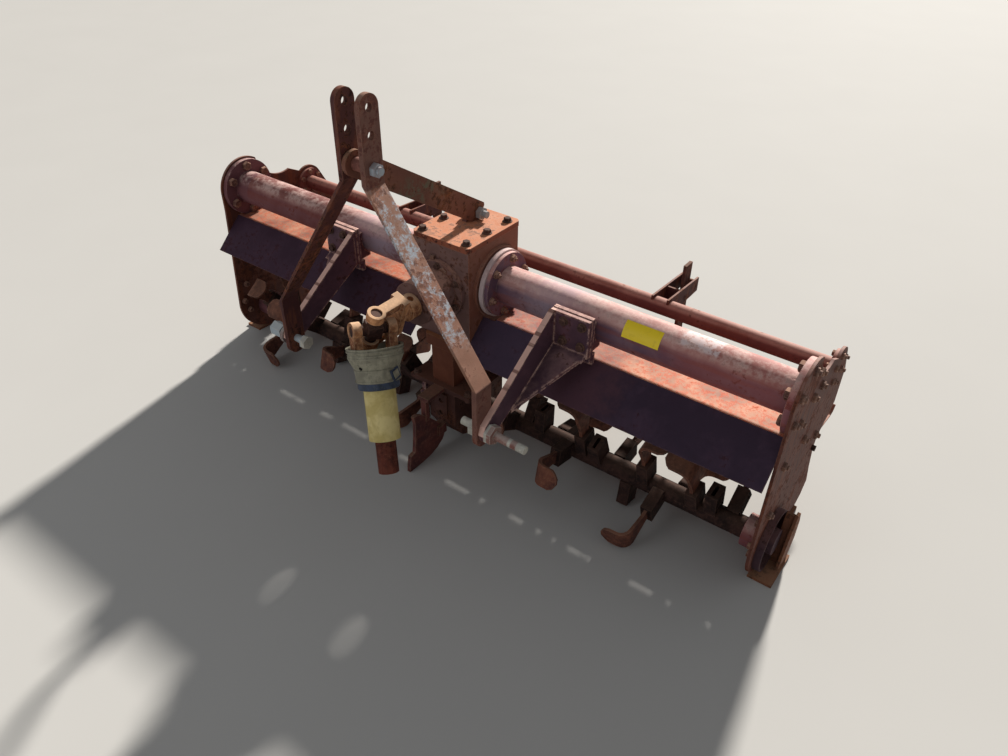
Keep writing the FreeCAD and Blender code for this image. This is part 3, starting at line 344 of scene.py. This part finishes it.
looks = {
    # Beam: the purple-grey coat is painted shade of the front and underside, and the pale
    # up-facing tone is painted sunlight on the top; the dark red-brown over the left end is rust
    # tone and painted shade of the mast together.
    "beam": worn_paint(
        "beam_paint_and_painted_light", paint=("684e5e", "80626c"), faded_and_lit_tone="cc9c94", rust=("8c4c40", "6c3a38"),
        rusting=0.42, dust=(0.6, "e6c6bc"), lit_and_faded_from=0.3, streak=0.45, grain=(4.0, 46.0, 46.0),
        primer=("e4d2d2", (672, 772), (41, 58)),
        zones=(Zone(X, -1000, -440, "6a302a", 1.0, 60.0, 140.0),
               Zone(X, 240, 400, "c4b4c0", 0.5, 60.0, 140.0, True),
               Zone(X, -1000, -905, "6c464c", 0.95),
               Zone(X, 660, 1000, "9c4e46", 0.7, 80.0, 120.0))),
    "rear_tube": worn_paint(
        "rear_tube_paint", paint=("6a3a38", "7c4a46"), faded_and_lit_tone="a87468", rust=("844434", "5c3430"),
        rusting=0.4, dust=(0.4, "c09484"), streak=0.4, grain=(4.0, 60.0, 60.0)),
    # Hood: the dark purple coat and its darker and lavender stretches along x are painted shade of
    # the front panel; the peach up-facing tone and dust are painted sunlight on the top strip.
    "hood": worn_paint(
        "hood_paint", paint=("38293a", "4a3648"), faded_and_lit_tone="ffba92", rust=("5c3a3a", "402830"),
        rusting=0.5, dust=(0.35, "f4b896"), lit_and_faded_from=0.78, edges=0.3, contrast=0.75,
        dust_and_lit_from=0.8, top_rust="d05c34",
        zones=(Zone(X, -1000, -110, "3c1a26", 0.5, 20.0, 60.0),
               Zone(X, 120, 330, "54465c", 0.6, 40.0, 60.0),
               Zone(X, 330, 540, "6a4248", 0.6, 60.0, 220.0))),
    "rear_hood": worn_paint(
        "rear_hood_paint", paint=("543638", "66423e"), faded_and_lit_tone="c08468", rust=("7a4836", "46302e"),
        rusting=0.55, dust=(0.4, "d4a488"), lit_and_faded_from=0.6, top_rust="a05a3c"),
    "shield": worn_paint(
        "rear_shield_paint", paint=("5c3c38", "70483e"), faded_and_lit_tone="94624e", rust=("7c4a36", "4a302c"),
        rusting=0.6, dust=(0.5, "b08470"), streak=0.5, grain=(40.0, 4.0, 4.0)),
    # Bearing guards: the dark purple-grey coat is painted shade of the guard's front-facing rim.
    "bearing_guard": worn_paint(
        "bearing_guard_painted_shade", paint=("3c2c34", "4e3840"), faded_and_lit_tone="6c4c4c",
        rust=("5a3a34", "3a2828"), rusting=0.4, dust=(0.2, "8c6c64")),
    "skid": worn_paint(
        "skid_rust", paint=("6e4638", "86573f"), faded_and_lit_tone="94684e", rust=("8a5636", "54382c"),
        rusting=0.6, dust=(0.3, "b08c70")),
    "plate": worn_paint(
        "side_plate_paint", paint=("52302a", "683e34"), faded_and_lit_tone="8a665e", rust=("743e28", "482a24"),
        rusting=0.6, dust=(0.25, "b88a72"), streak=0.6),
    "mast": worn_paint(
        "mast_paint", paint=("4a2a2a", "5c3430"), faded_and_lit_tone="74483e", rust=("8a5236", "32201f"),
        rusting=0.7, dust=(0.3, "b08068"), streak=0.45, grain=(30.0, 30.0, 6.0)),
    # Right mast bar: the pale blue flakes are an older coat; the darker tones on its upright top
    # and foot are painted shade.
    "patched_mast": worn_paint(
        "mast_bar_patched_paint", paint=("84604f", "a07562"), faded_and_lit_tone="b48672",
        rust=("a0644a", "6c463c"), rusting=0.75, dust=(0.4, "c8a48e"), flakes=("b8c6d2", 60, 372),
        zones=(Zone(Z, 384, 700, "4a2c2e", 0.85), Zone(Z, -250, -38, "583638", 0.8))),
    "brace": worn_paint(
        "rear_brace_paint", paint=("6a4236", "805240"), faded_and_lit_tone="8a6650", rust=("8c5230", "4c342a"),
        rusting=0.65, dust=(0.3, "a8866c"), flakes=("60604e", 270, 330)),
    "brace_lug": worn_paint(
        "brace_lug_paint", paint=("6e4840", "80564a"), faded_and_lit_tone="94644e", rust=("8a5038", "4a2e2c"),
        rusting=0.65, dust=(0.3, "b48a74"), zones=(Zone(X, 5, 80, "b4c0c4", 1.0),)),
    "gearbox_cover": worn_paint(
        "gearbox_cover_paint", paint=("844836", "985a44"), faded_and_lit_tone="cc8460",
        rust=("8e4a32", "4a2c28"), rusting=0.6, dust=(0.5, "dca88c"), grime=0.6),
    "gearbox": worn_paint(
        "gearbox_paint", paint=("6a4e4a", "80625c"), faded_and_lit_tone="b08474", rust=("8a543e", "50362f"),
        rusting=0.6, dust=(0.3, "c8a090"),
        zones=(Zone(X, 111, 127.5, "dccaca", 0.95, both=True),
               Zone(X, 97, 108.5, "96583c", 0.7, both=True))),
    "lower_case": worn_paint(
        "lower_case_paint", paint=("4c302c", "603e36"), faded_and_lit_tone="704a3c", rust=("744632", "34221f"),
        rusting=0.6, dust=(0.2, "8e6a5a")),
    "leg": worn_paint(
        "leg_paint", paint=("643828", "784432"), faded_and_lit_tone="a06846", rust=("683a28", "462a22"),
        rusting=0.5, dust=(0.4, "b8866a")),
    # Hitch arms and pads: the purple-grey coat is painted shade of the webs; the pale up-facing
    # tone, dust and wide edges are painted sunlight on the pad tops and cut edges.
    "hitch_arm": worn_paint(
        "hitch_arm_paint_and_painted_light", paint=("4c3440", "64444f"), faded_and_lit_tone="e4b4a6", rust=("80483a", "442a2c"),
        rusting=0.45, dust=(0.6, "f0c4b4"), lit_and_faded_from=0.8, edges=1.0, edge_width=0.011,
        dust_and_lit_from=0.8, cut=(345, 364)),
    # Rust on the rotor, tine holders and hinge rod, darkened further as painted shade under the
    # hood.
    "brown_rust_and_painted_shade": rust_steel("brown_rust_and_painted_shade", "281b19", "48302a", "6c5446"),
    "tine": rust_steel("tine_rust", "4e2c26", "7c4a38", "a07a62", shine=0.2),
    "share": rust_steel("share_steel", "4c2626", "6c3630", "a08468", shine=0.3),
    "strap": rust_steel("strap_rust", "4e342f", "704a40", "9c7a68"),
    "drive_joint": rust_steel("joint_rust", "7c4e38", "d09668", "ecc8a4", dust=0.6),
    "profile_tube": rust_steel("profile_tube_rust", "381a18", "683428", "946450"),
    "mast_bolt": rust_steel(
        "mast_bolt_steel", "643830", "7c4a3e", "9c7060", shine=0.3,
        zones=(Zone(X, 42.5, 80, "a8bac4", 1.0, both=True),)),
    "hitch_pin": rust_steel(
        "hitch_pin_steel", "a8a69c", "c6c2b6", "dedad0", shine=0.4, metal=0.2,
        zones=(Zone(X, -600, -300, "a4b6c4", 0.9),
               Zone(X, 371, 424, "7a2e22", 1.0),
               Zone(X, 433, 449, "7a2e22", 1.0),
               Zone(X, -378, -346, "70402f", 0.95))),
    "flange_bolt": rust_steel("flange_bolt_rust", "4e3230", "7c5446", "c09680", dust=0.6),
    "plate_bolt": rust_steel("bolt_steel", "5c3e36", "86604e", "b09080", shine=0.2),
    "dark_bolt": rust_steel("dark_bolt", "2e1e1c", "523630", "806252", shine=0.1),
    # Near-black look for a disc that is the painted shade inside a hole.
    "hole_shade": rust_steel("painted_hole_shade", "120f0f", "1c1816", "2c2622"),
    "guard_cone": aged_plastic("guard_cone_plastic", "747060", "9c9884", "4a4536"),
    "guard_tube": aged_plastic("guard_tube_plastic", "c0ac68", "dccb8c", "94804f", 0.2),
    "dark_ring": aged_plastic("dark_ring_plastic", "202c3e", "384660", "585e62"),
    "sticker": sticker_vinyl("sticker_vinyl", "fada1a", "d4b428"),
}

# The nodes of the CAD model that take each look.
DRESS = {
    "beam": "main_beam_left main_beam_right bearing_left bearing_right",
    "rear_tube": "rear_tube",
    "hood": "hood_front_left hood_front_right",
    "rear_hood": "hood_rear",
    "shield": "rear_shield",
    "bearing_guard": "bearing_guard_left bearing_guard_right",
    "skid": "skid_left skid_right",
    "plate": "side_plate_left side_plate_right hinge_brackets",
    "mast": "mast_bar_left shield_bracket_left shield_bracket_right",
    "patched_mast": "mast_bar_right",
    "brace": "rear_brace",
    "brace_lug": "brace_lug",
    "gearbox_cover": "gearbox_cover",
    "gearbox": "gearbox_housing input_housing",
    "lower_case": "lower_case",
    "leg": "drive_leg",
    "hitch_arm": "beam_pad_left beam_pad_right hitch_arm_left hitch_arm_right",
    "brown_rust_and_painted_shade": "shield_hinge_rod rotor_shaft tine_holders_left tine_holders_right",
    "tine": "tines_left tines_right",
    "share": "centre_share",
    "strap": "shield_strap_left shield_strap_right",
    "drive_joint": "input_yoke shaft_yoke",
    "profile_tube": "profile_tube",
    "mast_bolt": "mast_bolt",
    "hitch_pin": "lower_pin_left lower_pin_right",
    "dark_bolt": "joint_cross",
    "guard_cone": "guard_cone",
    "guard_tube": "guard_tube",
    "dark_ring": "guard_ring",
}
look_of = {node: look for look, nodes in DRESS.items() for node in nodes.split()}
for name, part in parts.items():
    part.data.materials.clear()
    part.data.materials.append(looks[look_of[name]])


# ---------------------------------------------------------------- making pieces
def facing(axis):
    """Turn that points local Z along an axis."""
    return Vector(axis).normalized().to_track_quat("Z", "Y").to_matrix().to_4x4()


class Piece:
    """Small shapes gathered into one object that rides on one body. Shapes are in mm."""

    def __init__(self, name, body, look, slot):
        self.name, self.body, self.look, self.slot = name, body, look, slot
        self.mesh = bmesh.new()

    def ring(self, where, turn, sides, radius, height, spin):
        corners = []
        for k in range(sides):
            a = spin + 2 * math.pi * k / sides
            corner = Vector((radius * math.cos(a), radius * math.sin(a), height)) / 1000.0
            corners.append(self.mesh.verts.new(where + turn @ corner))
        return corners

    def rings(self, where, axis, sides, section, spin=0.0):
        """Rows of corners from a section of (radius, height) along an axis."""
        turn = facing(axis)
        return [self.ring(where, turn, sides, r, h, spin) for r, h in section]

    def skin(self, low, high):
        """Faces all round between two closed rows of corners."""
        for k, corner in enumerate(low):
            n = (k + 1) % len(low)
            self.mesh.faces.new((corner, low[n], high[n], high[k]))

    def stack(self, where, axis, sides, section, spin=0.0):
        """Closed shape turned from a section."""
        rows = self.rings(where, axis, sides, section, spin)
        self.mesh.faces.new(list(reversed(rows[0])))
        for low, high in zip(rows, rows[1:]):
            self.skin(low, high)
        self.mesh.faces.new(rows[-1])

    def hoop(self, where, axis, radius, thick, width):
        """Flat band round an axis."""
        inner = radius - thick
        section = ((inner, 0), (radius, 0), (radius, width), (inner, width))
        rows = self.rings(where, axis, 64, section)
        for low, high in zip(rows, rows[1:] + rows[:1]):
            self.skin(low, high)

    def bolt(self, where, axis, across, head, washer=0, stud=0):
        """Hexagon head, with a washer under it and a stud's end through it if asked."""
        r = across * 0.577                      # from the middle to a corner
        base = -SUNK
        spin = random.uniform(0, 1.0)
        if washer:
            self.stack(where, axis, 20, [(washer, base), (washer, 1.8), (washer - 0.8, 2.4)])
            base = 2.0
        top = base + head
        self.stack(where, axis, 6, [(r, base), (r, top - r * 0.16), (r * 0.84, top)], spin)
        if stud:
            self.stack(where, axis, 14, [(stud, top - 1), (stud, top + 5), (stud * 0.85, top + 6)])

    def slab(self, low, high):
        """Square-edged block between two corners."""
        (x0, y0, z0), (x1, y1, z1) = low, high
        spots = [(x, y, z) for z in (z0, z1) for x, y in ((x0, y0), (x1, y0), (x1, y1), (x0, y1))]
        low = [self.mesh.verts.new(at(*spot)) for spot in spots[:4]]
        high = [self.mesh.verts.new(at(*spot)) for spot in spots[4:]]
        self.mesh.faces.new(low[::-1])
        self.mesh.faces.new(high)
        self.skin(low, high)

    def sheet(self, rows):
        """Open sheet through rows of places."""
        rows = [[self.mesh.verts.new(spot) for spot in row] for row in rows]
        for low, high in zip(rows, rows[1:]):
            for k in range(len(low) - 1):
                self.mesh.faces.new((low[k], high[k], high[k + 1], low[k + 1]))

    def done(self):
        data = bpy.data.meshes.new(self.name)
        self.mesh.normal_update()
        self.mesh.to_mesh(data)
        self.mesh.free()
        piece = bpy.data.objects.new(self.name, data)
        bpy.context.scene.collection.objects.link(piece)
        data.materials.append(looks[self.look])
        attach(piece, self.body)


def bolt_circle(radius, first, middle=(0, 0)):
    """Six places on a circle round a middle, from a first angle in degrees."""
    for k in range(6):
        a = math.radians(first + 60 * k)
        yield middle[0] + radius * math.cos(a), middle[1] + radius * math.sin(a)


SIDES = (("left", -1), ("right", 1))
FORWARD, UP, DOWN = (0, -1, 0), (0, 0, 1), (0, 0, -1)

# Bolts on the gearbox cover.
piece = Piece("cover_bolts", "frame", "dark_bolt", "dark_steel")
for x in (-76, 76):
    for y in (-101, -12, 80):
        piece.bolt(at(x, y, COVER_TOP), UP, across=19, head=10, washer=14)
piece.done()

# Bolts on the discs of the beam, rear tube and gearbox and on the bearings, and the bolts
# outside the side plates.
for word, side in SIDES:
    inward, outward = (-side, 0, 0), (side, 0, 0)
    piece = Piece("flange_bolts_" + word, "frame", "flange_bolt", "bare_steel")
    for beam, rear, gear in zip(bolt_circle(BEAM_CIRCLE, 30),
                                bolt_circle(REAR_CIRCLE, 30, REAR_AXIS),
                                bolt_circle(GEAR_CIRCLE, 15)):
        piece.bolt(at(side * BEAM_DISC, *beam), inward, across=26, head=13)
        piece.bolt(at(side * REAR_DISC, *rear), inward, across=15, head=8)
        piece.bolt(at(side * GEAR_DISC, *gear), outward, across=18, head=9, washer=12,
                   stud=4.5)
    for bearing in ((-80, -350), (-100, -412), (-84, -455)):
        piece.bolt(at(side * PLATE_IN, *bearing), inward, across=17, head=9, washer=11)
    piece.done()

    piece = Piece("plate_bolts_" + word, "frame", "plate_bolt", "dark_steel")
    for rear in bolt_circle(REAR_CIRCLE, 30, REAR_AXIS):
        piece.bolt(at(side * PLATE_OUT, *rear), outward, across=16, head=7, stud=5)
    singles = [(95, -187), (-45, -176), (115, -30), (230, -262), (-55, -330)]
    for spot in singles + list(bolt_circle(BEAM_CIRCLE, 30)):
        piece.bolt(at(side * PLATE_OUT, *spot), outward, across=21, head=9, stud=6.5)
    piece.done()

# Bolts of the hitch arm pads.
for word, side in SIDES:
    piece = Piece("hitch_bolts_" + word, "frame", "dark_bolt", "dark_steel")
    for x, z in ((392, 32), (446, 32), (392, -26), (446, -26)):
        piece.bolt(at(side * x, PAD_FRONT, z), FORWARD, across=19, head=9, washer=13)
    piece.done()

# Bolts round the input housing and between leg and lower case.
piece = Piece("housing_bolts", "frame", "dark_bolt", "dark_steel")
for x, z in bolt_circle(INPUT_CIRCLE, 30, (0, INPUT_Z)):
    piece.bolt(at(x, INPUT_FRONT, z), FORWARD, across=15, head=7, washer=10)
for x in (-98, 98):
    for y in (-134, -60, 14, 90):
        piece.bolt(at(x, y, CASE_FLANGE_TOP), UP, across=17, head=9, washer=12)
        piece.bolt(at(x, y, CASE_FLANGE_UNDER), DOWN, across=17, head=9, washer=12)
piece.done()

# Level plug and lifting lug on the front of the gearbox, and a bar under the case flange.
piece = Piece("gearbox_plug", "frame", "plate_bolt", "bare_steel")
piece.bolt(at(18, GEARBOX_FRONT, 56), FORWARD, across=26, head=14, washer=16)
piece.slab((-28, GEARBOX_FRONT - 10, 52), (-16, GEARBOX_FRONT + SUNK, 92))
piece.done()
piece = Piece("case_bar", "frame", "hitch_arm", "worn_red_paint")
piece.slab((-64, BAR_FRONT, -476), (-52, BAR_FRONT + 14, CASE_FLANGE_UNDER + SUNK))
piece.bolt(at(-58, BAR_FRONT, -372), FORWARD, across=18, head=8)
piece.done()

# The hanging shaft's own frame: its joint centre and the joint's roll, yaw and swing.
JOINT = Vector((0.0, -390.0, -2.0))
ROLL, YAW, SWING = 20, 65, -43
lean = (Matrix.Rotation(math.radians(ROLL), 3, "Y") @ Matrix.Rotation(math.radians(YAW), 3, "Z")
        @ Matrix.Rotation(math.radians(SWING), 3, "X"))
down = lean @ Vector((0, 0, -1))


def on_guard(radius, angle, depth):
    """A place on the guard and the way out from the shaft's axis there."""
    a = math.radians(angle)
    out = lean @ Vector((math.cos(a), math.sin(a), 0))
    return at(*(JOINT + out * radius + down * depth)), out


# Ribs under the guard cone's rim, its latch, and a black disc as the painted shade of a hole worn
# through it.
latch, latch_out = on_guard(58, -61, 114)
SQUARE_ON = math.radians(45)                # sets the sides of a square along the shaft
piece = Piece("guard_ribs", "drive_shaft", "guard_cone", "yellow_guard")
for depth, radius in ((43, 74), (50, 74), (66, 72.6), (99, 60), (128, 59)):
    piece.hoop(at(*(JOINT + down * depth)), down, radius, 4, 3)
piece.stack(latch, latch_out, 4, [(14, -2), (14, 3.5), (12, 5)], SQUARE_ON)
piece.done()
piece = Piece("guard_latch_frame", "drive_shaft", "dark_ring", "yellow_guard")
piece.stack(latch, latch_out, 4, [(22, -2), (22, 1.5), (21, 2.2)], SQUARE_ON)
piece.done()
piece = Piece("guard_hole", "drive_shaft", "hole_shade", "dark_steel")
hole, hole_out = on_guard(61.5, -152, 92)
piece.stack(hole, hole_out + down * 0.45, 12, [(5, -1), (5, 0.5)])
piece.done()

# Sticker on the beam: a plain yellow sheet bent round the tube.
piece = Piece("blank_sticker", "frame", "sticker", "yellow_guard")
bend = [math.radians(118 + 49 * i / 12.0) for i in range(13)]
piece.sheet([[at(x, BEAM_SKIN * math.cos(a), BEAM_SKIN * math.sin(a))
              for x in (528, 562, 596, 630)] for a in bend])
piece.done()

# ---------------------------------------------------------------- stage, light and camera
bpy.ops.mesh.primitive_plane_add(size=60, location=(0, 0, 0))
floor = bpy.context.object
floor.name = "studio_floor"
look = Look("pale_floor")
floor.data.materials.append(look.finish(
    Base_Color=look.mix(look.noise(2.0, 2.0), rgb("bcbab6"), rgb("c0beba")), Roughness=0.9))


def lamp(name, kind, energy, colour, way, spot=(0, 0, 0)):
    light = bpy.data.lights.new(name, kind)
    light.energy, light.color = energy, colour
    holder = bpy.data.objects.new(name, light)
    holder.location = spot
    holder.rotation_mode = "QUATERNION"
    holder.rotation_quaternion = Vector(way).to_track_quat("-Z", "Y")
    bpy.context.scene.collection.objects.link(holder)
    return light


key = lamp("key_lamp", "SUN", 6.9, (1.0, 0.96, 0.90), (0.15, -0.87, -0.47))
key.angle = math.radians(3.5)
fill_spot = (-1.5, -4.5, 2.6)
fill = lamp("front_lamp", "AREA", 24, (0.90, 0.94, 1.0),
            Vector((0, 0, 0.5)) - Vector(fill_spot), fill_spot)
fill.shape, fill.size = "DISK", 3.0

# Dim bluish light from all round, and white where the camera looks past the floor.
world = bpy.data.worlds.new("studio")
bpy.context.scene.world = world
world.use_nodes = True
world.node_tree.nodes.clear()
studio = Nodes(world.node_tree)
dim = studio.node("ShaderNodeBackground", None, {"Color": (0.90, 0.92, 0.95), "Strength": 0.27})
white = studio.node("ShaderNodeBackground", None, {"Color": (0.93, 0.93, 0.93), "Strength": 1.0})
seen = studio.node("ShaderNodeLightPath", out="Is Camera Ray")
both = studio.node("ShaderNodeMixShader", None, {0: seen, 1: dim, 2: white})
studio.node("ShaderNodeOutputWorld", None, {"Surface": both})

# Camera at the photograph's viewing angle.
AZIMUTH, FALL, TWIST = (math.radians(a) for a in (-36.2, 36.3, 0.8))
ahead = Vector((math.sin(AZIMUTH) * math.cos(FALL), math.cos(AZIMUTH) * math.cos(FALL),
                -math.sin(FALL)))
right = ahead.cross(Vector((0, 0, 1))).normalized()
above = right.cross(ahead)
x_axis = right * math.cos(TWIST) + above * math.sin(TWIST)
y_axis = -right * math.sin(TWIST) + above * math.cos(TWIST)
pose = Matrix((x_axis, y_axis, -ahead)).transposed().to_4x4()
pose.translation = at(1279.1, -1569.8, 1103.3)
camera = bpy.data.objects.new("camera", bpy.data.cameras.new("camera"))
camera.data.sensor_width = 36.0
camera.data.lens = 28.55
camera.data.clip_end = 100.0
camera.matrix_world = pose
bpy.context.scene.collection.objects.link(camera)
bpy.context.scene.camera = camera
bpy.context.scene.view_settings.view_transform = "Standard"
